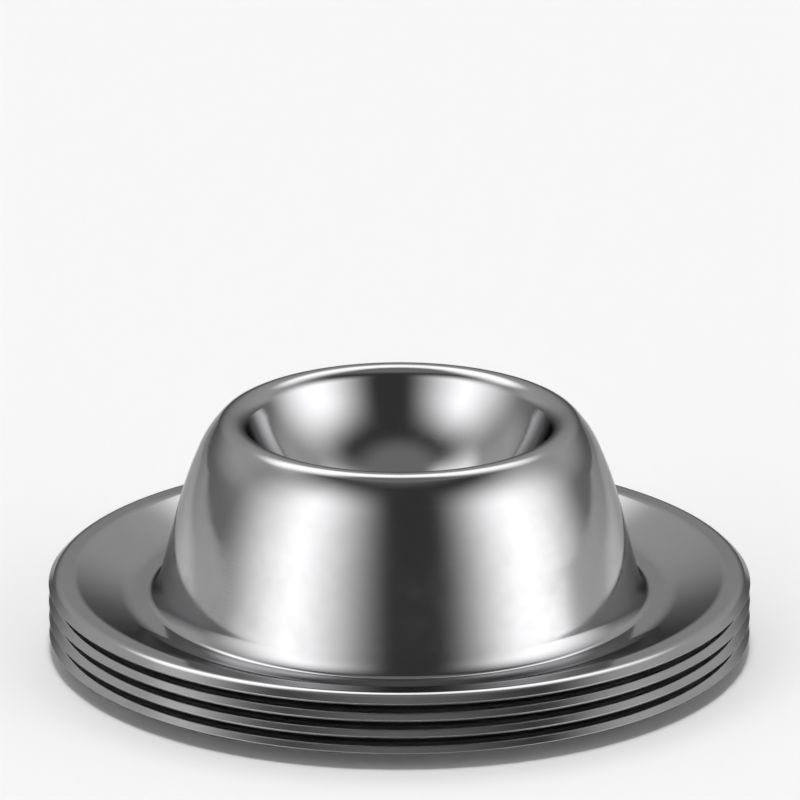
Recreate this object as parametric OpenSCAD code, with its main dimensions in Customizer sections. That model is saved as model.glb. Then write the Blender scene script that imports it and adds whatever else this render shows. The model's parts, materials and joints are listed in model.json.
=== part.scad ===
// A stack of nested cups with saucers, each pressed from one round blank of steel sheet.
// Every cup is the same pressing. From the axis outwards, its sheet runs through a bowl, a rounded
// lip, a shoulder, a flank, a drafted wall, a foot fillet, a flat floor, a saucer that rises to a
// flat band, and a turned-down edge, and it is equally thick all the way.
// The axis is Z. The origin is on the axis, in the plane that the lowest cup rests on.
// Radii and slopes are those of the show face, which looks up and outwards. A slope is the angle
// at which that face falls away from the axis.

/* [Sheet] */
// Thickness of the steel sheet
sheet_t = 0.45; // [0.3:0.05:0.5]

/* [Bowl] */
// Depth of the bowl below the lip's crest
bowl_depth = 14.1; // [13:0.1:16]

/* [Lip] */
// Diameter of the lip's crest
lip_d = 40.5; // [38:0.5:44]
// Radius of the lip
lip_r = 2.2; // [1.5:0.1:2.6]
// Height of the lip's crest above the band
cup_h = 19.7; // [18:0.1:24]

/* [Wall] */
// Slope where the lip passes into the shoulder, in degrees
lip_slope = 46.1; // [40:0.1:52]
// Radius of the shoulder between the lip and the flank
shoulder_r = 12.2; // [10:0.1:14]
// Slope where the shoulder passes into the flank, in degrees
shoulder_slope = 66.4; // [58:0.1:70]
// Radius of the flank between the shoulder and the straight wall
flank_r = 51.7; // [42:0.1:60]
// Lean of the straight wall inwards, in degrees from upright
wall_draft = 14.3; // [12:0.1:17]
// Radius of the fillet between the wall and the floor
foot_r = 4.2; // [3:0.1:5]

/* [Saucer] */
// Width of the flat floor that the cup rests on
floor_w = 1.6; // [1.2:0.1:4]
// Depth of the floor below the band
saucer_depth = 2.55; // [2.1:0.05:3.5]
// Radius where the floor runs up into the saucer's slope
saucer_sweep_r = 4; // [3:0.1:6]
// Steepness of the saucer's slope, in degrees
saucer_slope = 30; // [25:1:36]
// Radius where the saucer's slope runs out into the band
saucer_bend_r = 1.5; // [1:0.1:2]
// Width of the flat band
band_w = 1.5; // [1:0.1:4]

/* [Edge] */
// Inner radius of the bend that turns the edge down
edge_inner_r = 0.15; // [0.1:0.05:0.3]
// Lean of the turned-down edge outwards, in degrees from upright
edge_lean = 12; // [6:1:16]
// Height of the turned-down edge, from the band to the cut
edge_h = 1.1; // [0.9:0.05:1.3]

/* [Stack] */
// Clearance between the walls of nested cups, square to the wall
nest_gap = 0.055; // [0.03:0.005:0.1]

/* [Hidden] */

// Largest gap between a true arc and the straight steps that stand for it
smooth_tol = 0.01;
// Steps round a full turn
turn_steps = 120;
// Slopes of a level and of an upright face, in degrees
level = 0;
upright = 90;

// Rise from one nested cup to the next
nest_pitch = (sheet_t + nest_gap) / sin(wall_draft);

// Bowl, which meets the lip smoothly: its radius and how far it climbs
lip_x = lip_d / 2;
bowl_r = (pow(lip_x, 2) + pow(bowl_depth - lip_r, 2) - pow(lip_r, 2)) / (2 * bowl_depth);
bowl_slope = -asin(lip_x / (bowl_r + lip_r));

// Straight wall, as long as the height between the flank and the foot asks
wall_slope = upright - wall_draft;
cup_bends = fall(lip_r, level, lip_slope)
    + fall(shoulder_r, lip_slope, shoulder_slope)
    + fall(flank_r, shoulder_slope, wall_slope)
    + fall(foot_r, wall_slope, level);
wall_len = (cup_h + saucer_depth - cup_bends) / sin(wall_slope);

// Saucer's straight slope, as long as the rise between its two bends asks
saucer_bends = fall(saucer_sweep_r, level, -saucer_slope) + fall(saucer_bend_r, -saucer_slope, level);
slope_len = (saucer_depth + saucer_bends) / sin(saucer_slope);

// Turned-down edge: its bend and its straight leg
edge_r = edge_inner_r + sheet_t;
edge_slope = upright - edge_lean;
edge_len = (edge_h - fall(edge_r, level, edge_slope)) / sin(edge_slope);

// Middle of the bowl's show face
bowl_floor = [0, sheet_t + saucer_depth + cup_h - bowl_depth];

// Stretches of the show face from the axis to the cut: the radius of a bend or the length of a
// straight, with the slopes at its start and its end, which are equal on a straight
stretches = [
    [bowl_r, level, bowl_slope],
    [lip_r, bowl_slope, lip_slope],
    [shoulder_r, lip_slope, shoulder_slope],
    [flank_r, shoulder_slope, wall_slope],
    [wall_len, wall_slope, wall_slope],
    [foot_r, wall_slope, level],
    [floor_w, level, level],
    [saucer_sweep_r, level, -saucer_slope],
    [slope_len, -saucer_slope, -saucer_slope],
    [saucer_bend_r, -saucer_slope, level],
    [band_w, level, level],
    [edge_r, level, edge_slope],
    [edge_len, edge_slope, edge_slope]
];

// Direction that the show face looks in at a slope
function facing(slope) = [sin(slope), cos(slope)];

// Way from the start of a stretch to its end
function run(size, from, to) =
    from == to
        ? size * [cos(from), -sin(from)]
        : sign(to - from) * size * (facing(to) - facing(from));

// Height that a stretch loses
function fall(size, from, to) = -run(size, from, to).y;

// Steps that a stretch is drawn in
function steps(size, from, to) =
    from == to ? 1 : ceil(abs(to - from) / (2 * acos(1 - smooth_tol / size)));

// Points along the stretches, from the given one on, each with the direction that the face looks in
function drawn(start, first = 0) =
    first == len(stretches)
        ? []
        : let (
            size = stretches[first][0],
            from = stretches[first][1],
            to = stretches[first][2],
            count = steps(size, from, to)
        )
        concat(
            [
                for (i = [1:count])
                    let (slope = from + (to - from) * i / count)
                    [start + run(size, from, slope), facing(slope)]
            ],
            drawn(start + run(size, from, to), first + 1)
        );

// The show face from the axis to the cut
show_face = concat([[bowl_floor, facing(level)]], drawn(bowl_floor));

// The sheet in section: the show face, and back along the hidden face, one thickness behind it
sheet_section = concat(
    [for (p = show_face) p[0]],
    [for (i = [len(show_face) - 1:-1:0]) show_face[i][0] - sheet_t * show_face[i][1]]
);

// One pressing, nested at its place in the stack, counted from 0 at the bottom
module pressed_cup(place) {
    translate([0, 0, place * nest_pitch])
        rotate_extrude($fn = turn_steps)
            polygon(sheet_section);
}

// Lowest cup, whose floor rests on the table
module bottom_cup() {
    color("silver") pressed_cup(0);
}

// Second cup from below
module second_cup() {
    color("silver") pressed_cup(1);
}

// Third cup from below
module third_cup() {
    color("silver") pressed_cup(2);
}

// Highest cup, whose bowl and saucer are open to use
module top_cup() {
    color("silver") pressed_cup(3);
}

bottom_cup();
second_cup();
third_cup();
top_cup();
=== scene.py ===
"""Looks for a stack of four nested steel egg cups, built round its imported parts.

Every cup is the same pressing of thin sheet. Its section is drawn arc by arc, spun into a shell,
given its thickness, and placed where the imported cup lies. A finish then says how each face of the
sheet is polished and worn. The studio is a pale floor under a few soft lamps.
"""
import json
import logging
import math
from dataclasses import dataclass
from enum import Enum
from functools import cache

import bmesh
import bpy
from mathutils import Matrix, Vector


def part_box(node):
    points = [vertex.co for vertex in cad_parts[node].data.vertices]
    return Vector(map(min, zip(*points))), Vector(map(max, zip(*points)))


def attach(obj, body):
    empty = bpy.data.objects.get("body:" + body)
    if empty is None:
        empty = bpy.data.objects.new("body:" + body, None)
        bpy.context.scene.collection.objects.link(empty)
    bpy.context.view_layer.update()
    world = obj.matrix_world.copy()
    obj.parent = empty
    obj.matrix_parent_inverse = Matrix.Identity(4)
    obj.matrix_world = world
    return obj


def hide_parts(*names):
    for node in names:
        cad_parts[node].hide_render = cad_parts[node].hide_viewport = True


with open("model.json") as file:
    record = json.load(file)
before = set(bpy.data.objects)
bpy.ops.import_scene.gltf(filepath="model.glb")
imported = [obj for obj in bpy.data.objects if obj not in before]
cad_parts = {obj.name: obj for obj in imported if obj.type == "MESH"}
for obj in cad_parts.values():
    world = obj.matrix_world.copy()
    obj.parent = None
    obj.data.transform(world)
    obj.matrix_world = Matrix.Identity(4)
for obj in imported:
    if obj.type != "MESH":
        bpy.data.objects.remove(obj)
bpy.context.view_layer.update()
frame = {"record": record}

MM = 0.001
LOG_FORMAT = "%(relativeCreated)6d ms %(name)s: %(message)s"

log = logging.getLogger("egg_cups")

Input = bpy.types.NodeSocket | float | tuple[float, ...]


class Face(Enum):
    """The faces of the sheet, numbered as the material slots of a cup."""

    SHOW = 0
    HIDDEN = 1
    CUT = 2


class SectionPen:
    """Draws a section in the XZ plane as one line of edges, from stretch to stretch."""

    ARC_STEP = math.radians(4)
    LEAST_STEPS = 3
    EASE_SHARE = 0.04

    def __init__(self, mesh: bmesh.types.BMesh, start: Vector) -> None:
        """Puts the pen down at a point, heading outwards.

        Args:
            mesh: The mesh that the line is drawn in.
            start: Where the line starts.
        """
        self.mesh = mesh
        self.tip = mesh.verts.new(start)
        self.heading = 0.0

    def line(self, length: float) -> None:
        """Draws a straight stretch, with a short step at each end that keeps its shading flat.

        Args:
            length: How long the stretch is.
        """
        middle = 0.5 - self.EASE_SHARE
        for share in (self.EASE_SHARE, middle, middle, self.EASE_SHARE):
            step = length * share
            tip = bmesh.ops.extrude_vert_indiv(self.mesh, verts=[self.tip])["verts"][0]
            way = Vector((math.cos(self.heading), 0.0, math.sin(self.heading)))
            bmesh.ops.translate(self.mesh, verts=[tip], vec=way * step)
            self.tip = tip

    def arc(self, radius: float, turn: float) -> None:
        """Draws an arc that leaves along the heading.

        Args:
            radius: The radius of the arc.
            turn: How far the heading turns, in degrees, upwards where it is above zero.
        """
        angle = math.radians(turn)
        side = math.copysign(radius, angle)
        to_centre = Vector((-math.sin(self.heading), 0.0, math.cos(self.heading))) * side
        spun = bmesh.ops.spin(
            self.mesh,
            geom=[self.tip],
            cent=self.tip.co + to_centre,
            axis=(0.0, -1.0, 0.0),
            angle=angle,
            steps=math.ceil(abs(angle) / self.ARC_STEP) + self.LEAST_STEPS,
            use_duplicate=False,
        )
        self.tip = next(item for item in spun["geom_last"] if isinstance(item, bmesh.types.BMVert))
        self.heading += angle


@dataclass
class PressedCup:
    """One cup, pressed from a round blank, with its sizes as they lie along the show face.

    The section runs from the middle of the bowl out to the cut edge. Slopes are those of the
    show face, in degrees below the outward way.
    """

    node: str
    body: str
    sheet: float = 0.45 * MM
    bowl_depth: float = 14.1 * MM
    lip_diameter: float = 40.5 * MM
    lip_radius: float = 2.2 * MM
    lip_slope: float = 46.1
    shoulder_radius: float = 12.2 * MM
    shoulder_slope: float = 66.4
    flank_radius: float = 51.7 * MM
    wall_slope: float = 75.7
    crest_above_band: float = 19.69 * MM
    foot_radius: float = 4.2 * MM
    foot_slope: float = 50.0
    knuckle_radius: float = 0.9 * MM
    floor_width: float = 1.6 * MM
    saucer_depth: float = 2.55 * MM
    sweep_radius: float = 4.0 * MM
    saucer_slope: float = 22.0
    bend_radius: float = 2.0 * MM
    band_width: float = 1.33 * MM
    edge_radius: float = 1.25 * MM
    edge_lean: float = 46.0
    edge_height: float = 0.95 * MM
    deburr: float = 0.03 * MM
    deburr_steps: int = 2
    deburr_angle: float = 50.0
    turn_steps: int = 240
    merge_distance: float = 1e-4 * MM

    @property
    def bowl_radius(self) -> float:
        """The radius at which the bowl meets the lip smoothly at this depth."""
        out = self.lip_diameter / 2
        drop = self.bowl_depth - self.lip_radius
        return (out**2 + drop**2 - self.lip_radius**2) / (2 * self.bowl_depth)

    @property
    def bowl_turn(self) -> float:
        """How far the bowl climbs round before the lip takes over, in degrees."""
        return math.degrees(math.asin(self.lip_diameter / 2 / (self.bowl_radius + self.lip_radius)))

    @property
    def wall_length(self) -> float:
        """The straight stretch of the wall, between the flank and the foot."""
        angles = (self.lip_slope, self.shoulder_slope, self.wall_slope, self.foot_slope)
        slopes = [math.radians(angle) for angle in angles]
        drop = self.lip_radius * (1 - math.cos(slopes[0]))
        drop += self.shoulder_radius * (math.cos(slopes[0]) - math.cos(slopes[1]))
        drop += self.flank_radius * (math.cos(slopes[1]) - math.cos(slopes[2]))
        drop += self.foot_radius * (math.cos(slopes[3]) - math.cos(slopes[2]))
        drop += self.knuckle_radius * (1 - math.cos(slopes[3]))
        return (self.crest_above_band + self.saucer_depth - drop) / math.sin(slopes[2])

    @property
    def slope_length(self) -> float:
        """The straight stretch of the saucer between its floor and its band."""
        slope = math.radians(self.saucer_slope)
        bends = (self.sweep_radius + self.bend_radius) * (1 - math.cos(slope))
        return (self.saucer_depth - bends) / math.sin(slope)

    @property
    def edge_leg(self) -> float:
        """The straight stretch of the turned-down edge."""
        lean = math.radians(self.edge_lean)
        return (self.edge_height - self.edge_radius * (1 - math.sin(lean))) / math.cos(lean)

    def draw_section(self, mesh: bmesh.types.BMesh) -> None:
        """Draws the show face from the middle of the bowl to the cut edge.

        Args:
            mesh: The empty mesh that takes the line.
        """
        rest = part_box(self.node)[0].z
        crest = rest + self.sheet + self.saucer_depth + self.crest_above_band
        pen = SectionPen(mesh, Vector((0.0, 0.0, crest - self.bowl_depth)))
        pen.arc(self.bowl_radius, self.bowl_turn)
        pen.arc(self.lip_radius, -self.bowl_turn - self.lip_slope)
        pen.arc(self.shoulder_radius, self.lip_slope - self.shoulder_slope)
        pen.arc(self.flank_radius, self.shoulder_slope - self.wall_slope)
        pen.line(self.wall_length)
        pen.arc(self.foot_radius, self.wall_slope - self.foot_slope)
        pen.arc(self.knuckle_radius, self.foot_slope)
        pen.line(self.floor_width)
        pen.arc(self.sweep_radius, self.saucer_slope)
        pen.line(self.slope_length)
        pen.arc(self.bend_radius, -self.saucer_slope)
        pen.line(self.band_width)
        pen.arc(self.edge_radius, self.edge_lean - 90.0)
        pen.line(self.edge_leg)

    def build(self) -> bpy.types.Object:
        """Spins the section into a shell and gives it the thickness of the sheet.

        Returns:
            The finished piece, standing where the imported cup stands.
        """
        shell = bmesh.new()
        self.draw_section(shell)
        bmesh.ops.spin(
            shell,
            geom=shell.verts[:] + shell.edges[:],
            cent=(0.0, 0.0, 0.0),
            axis=(0.0, 0.0, 1.0),
            angle=math.tau,
            steps=self.turn_steps,
            use_merge=True,
            use_duplicate=False,
        )
        bmesh.ops.remove_doubles(shell, verts=shell.verts, dist=self.merge_distance)
        bmesh.ops.recalc_face_normals(shell, faces=shell.faces)
        middle = min(shell.faces, key=lambda face: face.calc_center_median().xy.length)
        if middle.normal.z < 0:
            bmesh.ops.reverse_faces(shell, faces=shell.faces)
        for face in shell.faces:
            face.smooth = True
        mesh = bpy.data.meshes.new(f"{self.node}_shell")
        shell.to_mesh(mesh)
        shell.free()
        piece = bpy.data.objects.new(mesh.name, mesh)
        bpy.context.scene.collection.objects.link(piece)
        self.thicken(piece)
        return piece

    def thicken(self, piece: bpy.types.Object) -> None:
        """Gives a shell the sheet's thickness behind its show face, and takes the burr off its cut.

        Args:
            piece: The shell, as its show face alone.
        """
        solid = piece.modifiers.new("sheet", "SOLIDIFY")
        solid.thickness = self.sheet
        solid.offset = -1.0
        solid.use_even_offset = True
        solid.use_quality_normals = True
        solid.material_offset = Face.HIDDEN.value
        solid.material_offset_rim = Face.CUT.value
        burr = piece.modifiers.new("deburred_cut", "BEVEL")
        burr.width = self.deburr
        burr.segments = self.deburr_steps
        burr.limit_method = "ANGLE"
        burr.angle_limit = math.radians(self.deburr_angle)

    def fit(self, piece: bpy.types.Object) -> None:
        """Makes a piece stand for its packed cup and move with its body.

        Args:
            piece: The finished cup.
        """
        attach(piece, self.body)
        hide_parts(self.node)


@dataclass(frozen=True)
class WornRing:
    """A ring round the axis where the sheet is rubbed, by its radii."""

    inner: float
    outer: float
    fade: float
    strength: float


@dataclass(frozen=True)
class SteelFinish:
    """How one face of the sheet is polished, rubbed and handled."""

    GRAZING_TINT = (0.42, 0.42, 0.42, 1.0)
    SMUDGE_SIZE = 11 * MM
    SMUDGE_DULLING = 0.45
    WEAR_DULLING = 0.55
    HAIRLINE_HAZE = 0.06
    LONG_HAIRLINES = {"Spacing": 1.3 * MM, "Bend": 1.2}
    SHORT_HAIRLINES = {"Spacing": 0.7 * MM, "Bend": 3.0}

    name: str
    polish: float
    clean_tint: tuple[float, float, float]
    dull_tint: tuple[float, float, float]
    ring_width: float
    ring_depth: float
    ripple_size: float
    ripple_depth: float
    hairline_depth: float
    ring_haze: float
    smudge_haze: float
    wear_haze: float
    worn_rings: tuple[WornRing, ...]

    def material(self) -> bpy.types.Material:
        """Makes the material of this finish.

        Returns:
            The material.
        """
        made = bpy.data.materials.new(self.name)
        made.use_nodes = True
        sheet = NodeSheet(made.node_tree)
        steel = made.node_tree.nodes["Principled BSDF"]
        steel.inputs["Metallic"].default_value = 1.0
        steel.inputs["Specular Tint"].default_value = self.GRAZING_TINT
        place = made.node_tree.nodes.new("ShaderNodeTexCoord").outputs["Object"]
        rings = sheet.place(polishing_group(), {"Position": place, "Ring Width": self.ring_width})
        ripple = sheet.place(ripple_group(), {"Position": place, "Size": self.ripple_size})
        smudges = sheet.place(smudge_group(), {"Position": place, "Size": self.SMUDGE_SIZE})
        long_lines = sheet.place(hairline_group(), {"Position": place, **self.LONG_HAIRLINES})
        short_lines = sheet.place(hairline_group(), {"Position": place, **self.SHORT_HAIRLINES})
        hairlines = sheet.math("MAXIMUM", long_lines, short_lines)
        wear = self.wear(sheet, place)
        haze = sheet.math("MULTIPLY_ADD", rings, self.ring_haze, self.polish)
        haze = sheet.math("MULTIPLY_ADD", smudges, self.smudge_haze, haze)
        haze = sheet.math("MULTIPLY_ADD", wear, self.wear_haze, haze)
        haze = sheet.math("MULTIPLY_ADD", hairlines, self.HAIRLINE_HAZE, haze)
        sheet.put(steel.inputs["Roughness"], haze)
        dulled = sheet.math("MULTIPLY", wear, self.WEAR_DULLING)
        dulled = sheet.math("MULTIPLY_ADD", smudges, self.SMUDGE_DULLING, dulled)
        sheet.put(steel.inputs["Base Color"], sheet.blend(dulled, self.clean_tint, self.dull_tint))
        height = sheet.math("MULTIPLY", rings, self.ring_depth)
        height = sheet.math("MULTIPLY_ADD", ripple, self.ripple_depth, height)
        height = sheet.math("MULTIPLY_ADD", hairlines, -self.hairline_depth, height)
        bump = made.node_tree.nodes.new("ShaderNodeBump")
        bump.inputs["Distance"].default_value = 1.0
        sheet.put(bump.inputs["Height"], height)
        sheet.put(steel.inputs["Normal"], bump.outputs["Normal"])
        return made

    def wear(self, sheet: "NodeSheet", place: bpy.types.NodeSocket) -> Input:
        """Adds up the worn rings.

        Args:
            sheet: The material's node tree.
            place: The position on the object.

        Returns:
            How far the sheet is worn, from none to one.
        """
        total = 0.0
        for ring in self.worn_rings:
            sizes = {"Inner": ring.inner, "Outer": ring.outer, "Fade": ring.fade}
            worn = sheet.place(worn_ring_group(), {"Position": place, **sizes})
            total = sheet.math("MULTIPLY_ADD", worn, ring.strength, total)
        return total


STEEL_TINT = (0.62, 0.62, 0.63)
DULL_TINT = (0.56, 0.555, 0.55)
CUT_TINT = (0.4, 0.4, 0.405)
CUT_DULL_TINT = (0.34, 0.335, 0.33)
NEST_RUB = WornRing(inner=25.2 * MM, outer=28.4 * MM, fade=1.6 * MM, strength=0.5)

FINISHES = {
    Face.SHOW: SteelFinish(
        name="show_face_steel",
        polish=0.09,
        clean_tint=STEEL_TINT,
        dull_tint=DULL_TINT,
        ring_width=0.22 * MM,
        ring_depth=0.0015 * MM,
        ripple_size=7 * MM,
        ripple_depth=0.005 * MM,
        hairline_depth=0.0002 * MM,
        ring_haze=0.02,
        smudge_haze=0.05,
        wear_haze=0.06,
        worn_rings=(
            WornRing(inner=19.6 * MM, outer=20.9 * MM, fade=1.0 * MM, strength=0.5),
            NEST_RUB,
            WornRing(inner=41.9 * MM, outer=43.0 * MM, fade=0.4 * MM, strength=0.6),
        ),
    ),
    Face.HIDDEN: SteelFinish(
        name="hidden_face_steel",
        polish=0.34,
        clean_tint=STEEL_TINT,
        dull_tint=DULL_TINT,
        ring_width=0.3 * MM,
        ring_depth=0.006 * MM,
        ripple_size=5 * MM,
        ripple_depth=0.02 * MM,
        hairline_depth=0.003 * MM,
        ring_haze=0.12,
        smudge_haze=0.1,
        wear_haze=0.15,
        worn_rings=(
            NEST_RUB,
            WornRing(inner=32.6 * MM, outer=34.5 * MM, fade=0.8 * MM, strength=0.9),
        ),
    ),
    Face.CUT: SteelFinish(
        name="cut_edge_steel",
        polish=0.3,
        clean_tint=CUT_TINT,
        dull_tint=CUT_DULL_TINT,
        ring_width=0.06 * MM,
        ring_depth=0.004 * MM,
        ripple_size=2 * MM,
        ripple_depth=0.006 * MM,
        hairline_depth=0.002 * MM,
        ring_haze=0.15,
        smudge_haze=0.1,
        wear_haze=0.1,
        worn_rings=(),
    ),
}


@dataclass(frozen=True)
class SoftLamp:
    """A soft lamp in the sky, by where it stands as seen from the cups.

    Azimuth counts from the photographer's side towards the right, and elevation from the floor
    up, both in degrees. Reach and fade are given sideways and upright.
    """

    azimuth: float
    elevation: float
    reach: tuple[float, float]
    fade: tuple[float, float]
    strength: float


LAMPS = (
    SoftLamp(azimuth=-54.0, elevation=5.0, reach=(24.0, 42.0), fade=(56.0, 36.0), strength=1.64),
    SoftLamp(azimuth=68.5, elevation=5.0, reach=(26.0, 37.0), fade=(50.0, 36.0), strength=1.6),
    SoftLamp(azimuth=0.0, elevation=90.0, reach=(200.0, 22.0), fade=(1.0, 18.0), strength=0.16),
    SoftLamp(azimuth=190.0, elevation=58.0, reach=(62.0, 13.0), fade=(60.0, 12.0), strength=1.3),
    SoftLamp(azimuth=184.0, elevation=40.0, reach=(85.0, 25.0), fade=(60.0, 24.0), strength=0.4),
    SoftLamp(azimuth=180.0, elevation=5.0, reach=(110.0, 15.0), fade=(60.0, 20.0), strength=0.15),
    SoftLamp(azimuth=0.0, elevation=-90.0, reach=(200.0, 40.0), fade=(1.0, 40.0), strength=0.6),
)


@dataclass
class Studio:
    """A pale floor, soft lamps in the sky and the camera."""

    lamps: tuple[SoftLamp, ...] = LAMPS
    ground_glow: float = 0.045
    lamp_size: tuple[float, float] = (0.24, 0.6)
    lamp_place: tuple[float, float, float] = (0.0, 0.08, 0.45)
    lamp_spread: float = 13.0
    lamp_power: float = 0.25
    floor_radius: float = 4.0
    hollow_radius: float = 33.6 * MM
    floor_steps: int = 96
    floor_tone: float = 0.8
    camera_elevation: float = 20.12
    camera_distance: float = 1000 * MM
    pixels_per_mm: float = 8.264
    picture_width: int = 800
    aim_pixel: tuple[float, float] = (399.4, 570.87)
    aim_height: float = 9.134 * MM

    def camera(self) -> bpy.types.Object:
        """Places the camera at the photograph's angle.

        Returns:
            The camera, which is also made the scene's own.
        """
        lens = bpy.data.cameras.new("photo_camera")
        focal_pixels = self.pixels_per_mm * self.camera_distance / MM
        lens.lens = lens.sensor_width * focal_pixels / self.picture_width
        lens.clip_start = self.camera_distance / 10
        lens.clip_end = self.floor_radius * 4
        made = bpy.data.objects.new("photo_camera", lens)
        bpy.context.scene.collection.objects.link(made)
        elevation = math.radians(self.camera_elevation)
        back = Vector((0.0, -math.cos(elevation), math.sin(elevation)))
        made.location = Vector((0.0, 0.0, self.aim_height)) + back * self.camera_distance
        half = self.picture_width / 2
        pan = math.atan((half - self.aim_pixel[0]) / focal_pixels)
        tilt = math.atan((self.aim_pixel[1] - half) / focal_pixels)
        made.rotation_euler = (math.pi / 2 - elevation + tilt, 0.0, -pan)
        bpy.context.scene.camera = made
        return made

    def floor(self) -> bpy.types.Object:
        """Lays the floor, which is open under the lowest cup's hollow.

        Returns:
            The floor.
        """
        flat = bmesh.new()
        bmesh.ops.create_circle(flat, radius=self.hollow_radius, segments=self.floor_steps)
        spread = bmesh.ops.extrude_edge_only(flat, edges=flat.edges[:])["geom"]
        far = [item for item in spread if isinstance(item, bmesh.types.BMVert)]
        wider = self.floor_radius / self.hollow_radius
        bmesh.ops.scale(flat, verts=far, vec=(wider, wider, 1.0))
        flat.normal_update()
        if next(iter(flat.faces)).normal.z < 0:
            bmesh.ops.reverse_faces(flat, faces=flat.faces[:])
        mesh = bpy.data.meshes.new("studio_floor")
        flat.to_mesh(mesh)
        flat.free()
        mesh.materials.append(self.paper())
        made = bpy.data.objects.new("studio_floor", mesh)
        bpy.context.scene.collection.objects.link(made)
        return made

    def paper(self) -> bpy.types.Material:
        """Makes the floor's pale paper, which is clear as seen from below.

        Returns:
            The material.
        """
        made = bpy.data.materials.new("floor_paper")
        made.use_nodes = True
        nodes, links = made.node_tree.nodes, made.node_tree.links
        surface = nodes["Principled BSDF"]
        surface.inputs["Base Color"].default_value = (self.floor_tone,) * 3 + (1.0,)
        surface.inputs["Roughness"].default_value = 1.0
        surface.inputs["Specular IOR Level"].default_value = 0.0
        side = nodes.new("ShaderNodeNewGeometry")
        clear = nodes.new("ShaderNodeBsdfTransparent")
        mix = nodes.new("ShaderNodeMixShader")
        links.new(side.outputs["Backfacing"], mix.inputs[0])
        links.new(surface.outputs[0], mix.inputs[1])
        links.new(clear.outputs[0], mix.inputs[2])
        links.new(mix.outputs[0], nodes["Material Output"].inputs["Surface"])
        return made

    def top_lamp(self) -> None:
        """Hangs the lamp that lights the floor and leaves no reflection in the steel."""
        light = bpy.data.lights.new("floor_lamp", "AREA")
        light.shape = "RECTANGLE"
        light.size, light.size_y = self.lamp_size
        light.spread = math.radians(self.lamp_spread)
        light.energy = self.lamp_power
        made = bpy.data.objects.new("floor_lamp", light)
        made.location = self.lamp_place
        made.visible_glossy = False
        bpy.context.scene.collection.objects.link(made)

    def sky(self) -> None:
        """Hangs the lamps in the world's sky."""
        world = bpy.data.worlds.new("studio_sky")
        world.use_nodes = True
        bpy.context.scene.world = world
        sheet = NodeSheet(world.node_tree)
        background = world.node_tree.nodes["Background"]
        background.inputs["Color"].default_value = (1.0, 1.0, 1.0, 1.0)
        where = world.node_tree.nodes.new("ShaderNodeTexCoord").outputs["Generated"]
        total = self.ground_glow
        for lamp in self.lamps:
            values = {
                "Direction": where,
                "Azimuth": math.radians(lamp.azimuth),
                "Elevation": math.radians(lamp.elevation),
                "Reach": math.radians(lamp.reach[0]),
                "Fade": math.radians(lamp.fade[0]),
                "Upright Reach": math.radians(lamp.reach[1]),
                "Upright Fade": math.radians(lamp.fade[1]),
                "Strength": lamp.strength,
            }
            total = sheet.math("ADD", sheet.place(lamp_group(), values), total)
        sheet.put(background.inputs["Strength"], total)


def new_group(name: str, place: str, numbers: tuple[str, ...], result: str) -> bpy.types.NodeTree:
    """Starts a shader node group that reads a place and some numbers, and gives one number.

    Args:
        name: The group's name.
        place: The input for a position or direction.
        numbers: The inputs for plain numbers.
        result: The output.

    Returns:
        The group, with its input and output nodes placed.
    """
    group = bpy.data.node_groups.new(name, "ShaderNodeTree")
    group.interface.new_socket(place, in_out="INPUT", socket_type="NodeSocketVector")
    for label in numbers:
        group.interface.new_socket(label, in_out="INPUT", socket_type="NodeSocketFloat")
    group.interface.new_socket(result, in_out="OUTPUT", socket_type="NodeSocketFloat")
    group.nodes.new("NodeGroupInput")
    group.nodes.new("NodeGroupOutput")
    return group


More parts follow.
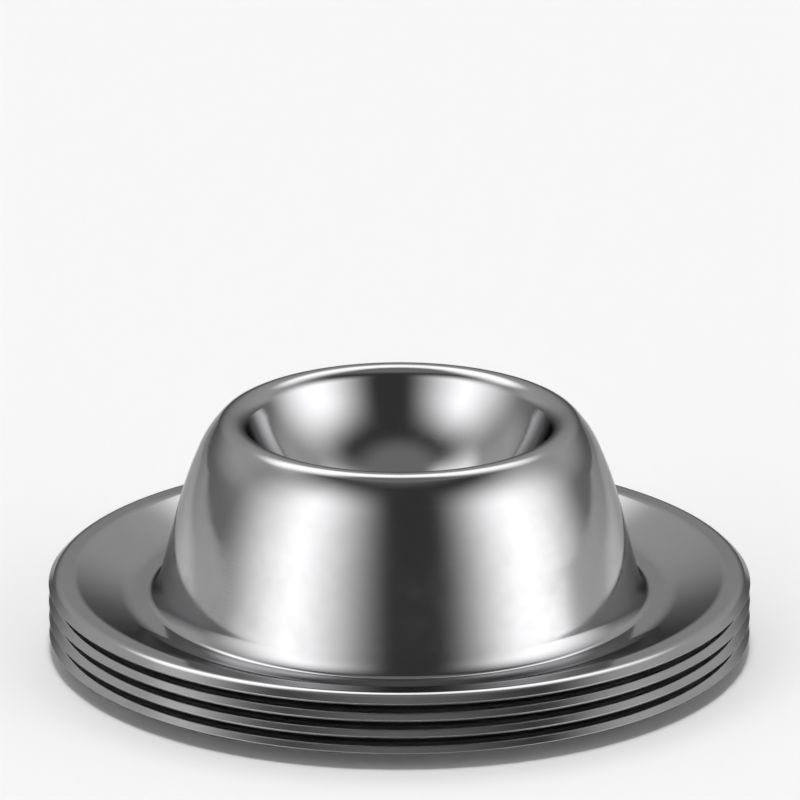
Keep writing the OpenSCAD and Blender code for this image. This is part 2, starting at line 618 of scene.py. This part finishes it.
class NodeSheet:
    """Short ways to write a node tree down."""

    def __init__(self, tree: bpy.types.NodeTree) -> None:
        """Starts writing in a tree.

        Args:
            tree: The tree that takes the nodes.
        """
        self.tree = tree

    def given(self, label: str) -> bpy.types.NodeSocket:
        """The group's own input of this name."""
        return self.tree.nodes["Group Input"].outputs[label]

    def give(self, label: str, value: bpy.types.NodeSocket) -> None:
        """Sends a value to the group's own output of this name."""
        self.tree.links.new(value, self.tree.nodes["Group Output"].inputs[label])

    def put(self, socket: bpy.types.NodeSocket, value: Input) -> None:
        """Links a socket to an input, or sets the input to a plain value.

        Args:
            socket: The input.
            value: A socket, a number or a tuple.
        """
        if isinstance(value, bpy.types.NodeSocket):
            self.tree.links.new(value, socket)
        else:
            socket.default_value = value

    def math(self, operation: str, *values: Input) -> bpy.types.NodeSocket:
        """A Math node's result.

        Args:
            operation: The node's operation.
            values: What goes in, in order.

        Returns:
            The node's output.
        """
        node = self.tree.nodes.new("ShaderNodeMath")
        node.operation = operation
        for socket, value in zip(node.inputs, values):
            self.put(socket, value)
        return node.outputs[0]

    def vector(self, operation: str, *values: Input) -> bpy.types.NodeSocket:
        """A Vector Math node's result.

        Args:
            operation: The node's operation.
            values: What goes in, in order.

        Returns:
            The node's output, which is a number where a length is asked for.
        """
        node = self.tree.nodes.new("ShaderNodeVectorMath")
        node.operation = operation
        for socket, value in zip(node.inputs, values):
            self.put(socket, value)
        return node.outputs["Value" if operation == "LENGTH" else "Vector"]

    def scaled(self, place: Input, scale: Input) -> bpy.types.NodeSocket:
        """A position or direction, scaled.

        Args:
            place: The position or direction.
            scale: How many times as large it becomes.

        Returns:
            The scaled one.
        """
        node = self.tree.nodes.new("ShaderNodeVectorMath")
        node.operation = "SCALE"
        self.put(node.inputs["Vector"], place)
        self.put(node.inputs["Scale"], scale)
        return node.outputs["Vector"]

    def flattened(self, place: Input) -> bpy.types.NodeSocket:
        """A position with its height left out, as it lies off the axis."""
        return self.vector("MULTIPLY", place, (1.0, 1.0, 0.0))

    def parts(self, place: Input) -> tuple[bpy.types.NodeSocket, ...]:
        """The X, Y and Z of a position or direction.

        Args:
            place: The position or direction.

        Returns:
            The three numbers.
        """
        node = self.tree.nodes.new("ShaderNodeSeparateXYZ")
        self.put(node.inputs[0], place)
        return tuple(node.outputs)

    def place(self, group: bpy.types.NodeTree, values: dict[str, Input]) -> bpy.types.NodeSocket:
        """Places a group with its own values.

        Args:
            group: The group.
            values: What goes in, by the name of the input.

        Returns:
            The group's one output.
        """
        node = self.tree.nodes.new("ShaderNodeGroup")
        node.node_tree = group
        for label, value in values.items():
            self.put(node.inputs[label], value)
        return node.outputs[0]

    def blend(
        self, share: Input, low: tuple[float, float, float], high: tuple[float, float, float]
    ) -> bpy.types.NodeSocket:
        """A colour between two others.

        Args:
            share: How much of the second colour shows.
            low: The first colour.
            high: The second colour.

        Returns:
            The mixed colour.
        """
        node = self.tree.nodes.new("ShaderNodeMix")
        node.data_type = "RGBA"
        self.put(node.inputs["Factor"], share)
        self.put(node.inputs["A"], (*low, 1.0))
        self.put(node.inputs["B"], (*high, 1.0))
        return node.outputs["Result"]

    def noise(
        self, place: Input, detail: float, fourth: Input | None = None
    ) -> bpy.types.NodeSocket:
        """Cloudy noise, of a size of about one.

        Args:
            place: Where the noise is read.
            detail: How many finer layers lie over the first.
            fourth: The fourth coordinate, where the noise has one.

        Returns:
            The noise, round a half.
        """
        node = self.tree.nodes.new("ShaderNodeTexNoise")
        if fourth is not None:
            node.noise_dimensions = "4D"
            self.put(node.inputs["W"], fourth)
        self.put(node.inputs["Vector"], place)
        node.inputs["Scale"].default_value = 1.0
        node.inputs["Detail"].default_value = detail
        return node.outputs["Fac"]

    def step(self, value: Input, low: Input, high: Input) -> bpy.types.NodeSocket:
        """A smooth step from none to one.

        Args:
            value: What is measured.
            low: Where the step starts.
            high: Where it ends.

        Returns:
            The step's share.
        """
        node = self.tree.nodes.new("ShaderNodeMapRange")
        node.interpolation_type = "SMOOTHSTEP"
        self.put(node.inputs["Value"], value)
        self.put(node.inputs["From Min"], low)
        self.put(node.inputs["From Max"], high)
        return node.outputs["Result"]

    def fall(self, value: Input, reach: str, fade: str) -> bpy.types.NodeSocket:
        """A smooth fall from one to nothing, half way down at the reach.

        Args:
            value: What is measured.
            reach: The group input that says how far out the fall lies.
            fade: The group input that says how wide it is.

        Returns:
            The share that is left.
        """
        half_fade = self.math("MULTIPLY", self.given(fade), 0.5)
        near = self.math("SUBTRACT", self.given(reach), half_fade)
        far = self.math("ADD", self.given(reach), half_fade)
        return self.math("SUBTRACT", 1.0, self.step(value, near, far))


RING_WAVER = 2.5
SMUDGE_EDGE = (0.48, 0.72)
SMUDGE_GRAIN = 9.0
SMUDGE_GRAIN_SHARE = (0.8, 0.4)
HAIRLINE_RISE = -0.5
HAIRLINE_WIDTH = 0.02
HAIRLINE_PATCH = 4 * MM
HAIRLINE_PATCH_EDGE = (0.52, 0.68)
RUBBED_PATCH = 2.5 * MM
RUBBED_PATCH_EDGE = (0.38, 0.66)


@cache
def lamp_group() -> bpy.types.NodeTree:
    """The node group that lights up one soft lamp in the sky.

    Returns:
        The group, made once.
    """
    numbers = ("Azimuth", "Elevation", "Reach", "Fade", "Upright Reach", "Upright Fade", "Strength")
    group = new_group("soft_lamp", "Direction", numbers, "Glow")
    sheet = NodeSheet(group)
    right, back, up = sheet.parts(sheet.given("Direction"))
    azimuth = sheet.math("ARCTAN2", right, sheet.math("MULTIPLY", back, -1.0))
    aside = sheet.math("SUBTRACT", azimuth, sheet.given("Azimuth"))
    aside = sheet.math("ABSOLUTE", sheet.math("WRAP", aside, math.pi, -math.pi))
    above = sheet.math("SUBTRACT", sheet.math("ARCSINE", up), sheet.given("Elevation"))
    above = sheet.math("ABSOLUTE", above)
    lit = sheet.math("MULTIPLY", sheet.given("Strength"), sheet.fall(aside, "Reach", "Fade"))
    lit = sheet.math("MULTIPLY", lit, sheet.fall(above, "Upright Reach", "Upright Fade"))
    sheet.give("Glow", lit)
    return group


@cache
def polishing_group() -> bpy.types.NodeTree:
    """The node group for the fine rings that polishing on a spindle leaves.

    Returns:
        The group, made once.
    """
    group = new_group("polishing_rings", "Position", ("Ring Width",), "Height")
    sheet = NodeSheet(group)
    width = sheet.given("Ring Width")
    flat = sheet.flattened(sheet.given("Position"))
    height = sheet.parts(sheet.given("Position"))[2]
    across = sheet.math("DIVIDE", sheet.vector("LENGTH", flat), width)
    up = group.nodes.new("ShaderNodeCombineXYZ")
    sheet.put(up.inputs["Z"], sheet.math("DIVIDE", height, width))
    round_axis = sheet.scaled(sheet.vector("NORMALIZE", flat), RING_WAVER)
    place = sheet.vector("ADD", round_axis, up.outputs["Vector"])
    sheet.give("Height", sheet.noise(place, detail=2.0, fourth=across))
    return group


@cache
def ripple_group() -> bpy.types.NodeTree:
    """The node group for the slight waviness of pressed sheet.

    Returns:
        The group, made once.
    """
    group = new_group("pressing_ripple", "Position", ("Size",), "Height")
    sheet = NodeSheet(group)
    scale = sheet.math("DIVIDE", 1.0, sheet.given("Size"))
    sheet.give("Height", sheet.noise(sheet.scaled(sheet.given("Position"), scale), detail=1.0))
    return group


@cache
def smudge_group() -> bpy.types.NodeTree:
    """The node group for the faint smudges that handling leaves.

    Returns:
        The group, made once.
    """
    group = new_group("handling_smudges", "Position", ("Size",), "Mask")
    sheet = NodeSheet(group)
    scale = sheet.math("DIVIDE", 1.0, sheet.given("Size"))
    place = sheet.scaled(sheet.given("Position"), scale)
    broad = sheet.step(sheet.noise(place, detail=4.0), *SMUDGE_EDGE)
    grain = sheet.noise(sheet.scaled(place, SMUDGE_GRAIN), detail=3.0)
    grainy = sheet.math("MULTIPLY_ADD", grain, *SMUDGE_GRAIN_SHARE)
    sheet.give("Mask", sheet.math("MULTIPLY", broad, grainy))
    return group


@cache
def hairline_group() -> bpy.types.NodeTree:
    """The node group for the hairlines of wiping and polishing, which run round the axis.

    Returns:
        The group, made once.
    """
    group = new_group("hairline_scratches", "Position", ("Spacing", "Bend"), "Mask")
    sheet = NodeSheet(group)
    flat = sheet.flattened(sheet.given("Position"))
    height = sheet.parts(sheet.given("Position"))[2]
    along = sheet.math("MULTIPLY_ADD", height, HAIRLINE_RISE, sheet.vector("LENGTH", flat))
    across = sheet.math("DIVIDE", along, sheet.given("Spacing"))
    round_axis = sheet.scaled(sheet.vector("NORMALIZE", flat), sheet.given("Bend"))
    off = sheet.math("SUBTRACT", sheet.noise(round_axis, detail=0.0, fourth=across), 0.5)
    beside = sheet.step(sheet.math("ABSOLUTE", off), 0.0, HAIRLINE_WIDTH)
    line = sheet.math("SUBTRACT", 1.0, beside)
    place = sheet.scaled(sheet.given("Position"), 1 / HAIRLINE_PATCH)
    here = sheet.step(sheet.noise(place, detail=1.0), *HAIRLINE_PATCH_EDGE)
    sheet.give("Mask", sheet.math("MULTIPLY", line, here))
    return group


@cache
def worn_ring_group() -> bpy.types.NodeTree:
    """The node group for a ring round the axis where the sheet is rubbed.

    Returns:
        The group, made once.
    """
    group = new_group("worn_ring", "Position", ("Inner", "Outer", "Fade"), "Mask")
    sheet = NodeSheet(group)
    out = sheet.vector("LENGTH", sheet.flattened(sheet.given("Position")))
    inner_end = sheet.math("SUBTRACT", sheet.given("Inner"), sheet.given("Fade"))
    outer_end = sheet.math("ADD", sheet.given("Outer"), sheet.given("Fade"))
    inside = sheet.step(out, inner_end, sheet.given("Inner"))
    outside = sheet.step(out, sheet.given("Outer"), outer_end)
    ring = sheet.math("SUBTRACT", inside, outside)
    place = sheet.scaled(sheet.given("Position"), 1 / RUBBED_PATCH)
    patches = sheet.step(sheet.noise(place, detail=5.0), *RUBBED_PATCH_EDGE)
    sheet.give("Mask", sheet.math("MULTIPLY", ring, patches))
    return group


def main() -> None:
    """Builds the studio and the cups, and reports each piece."""
    logging.basicConfig(level=logging.INFO, format=LOG_FORMAT)
    bpy.context.scene.view_settings.view_transform = "Standard"
    studio = Studio()
    studio.camera()
    studio.floor()
    studio.sky()
    studio.top_lamp()
    materials = [FINISHES[face].material() for face in Face]
    for body, nodes in frame["record"]["behaviour"]["bodies"].items():
        for node in nodes:
            cup = PressedCup(node, body)
            piece = cup.build()
            for material in materials:
                piece.data.materials.append(material)
            cup.fit(piece)
            log.info("%s rides on %s", piece.name, body)


if __name__ == "__main__":
    main()
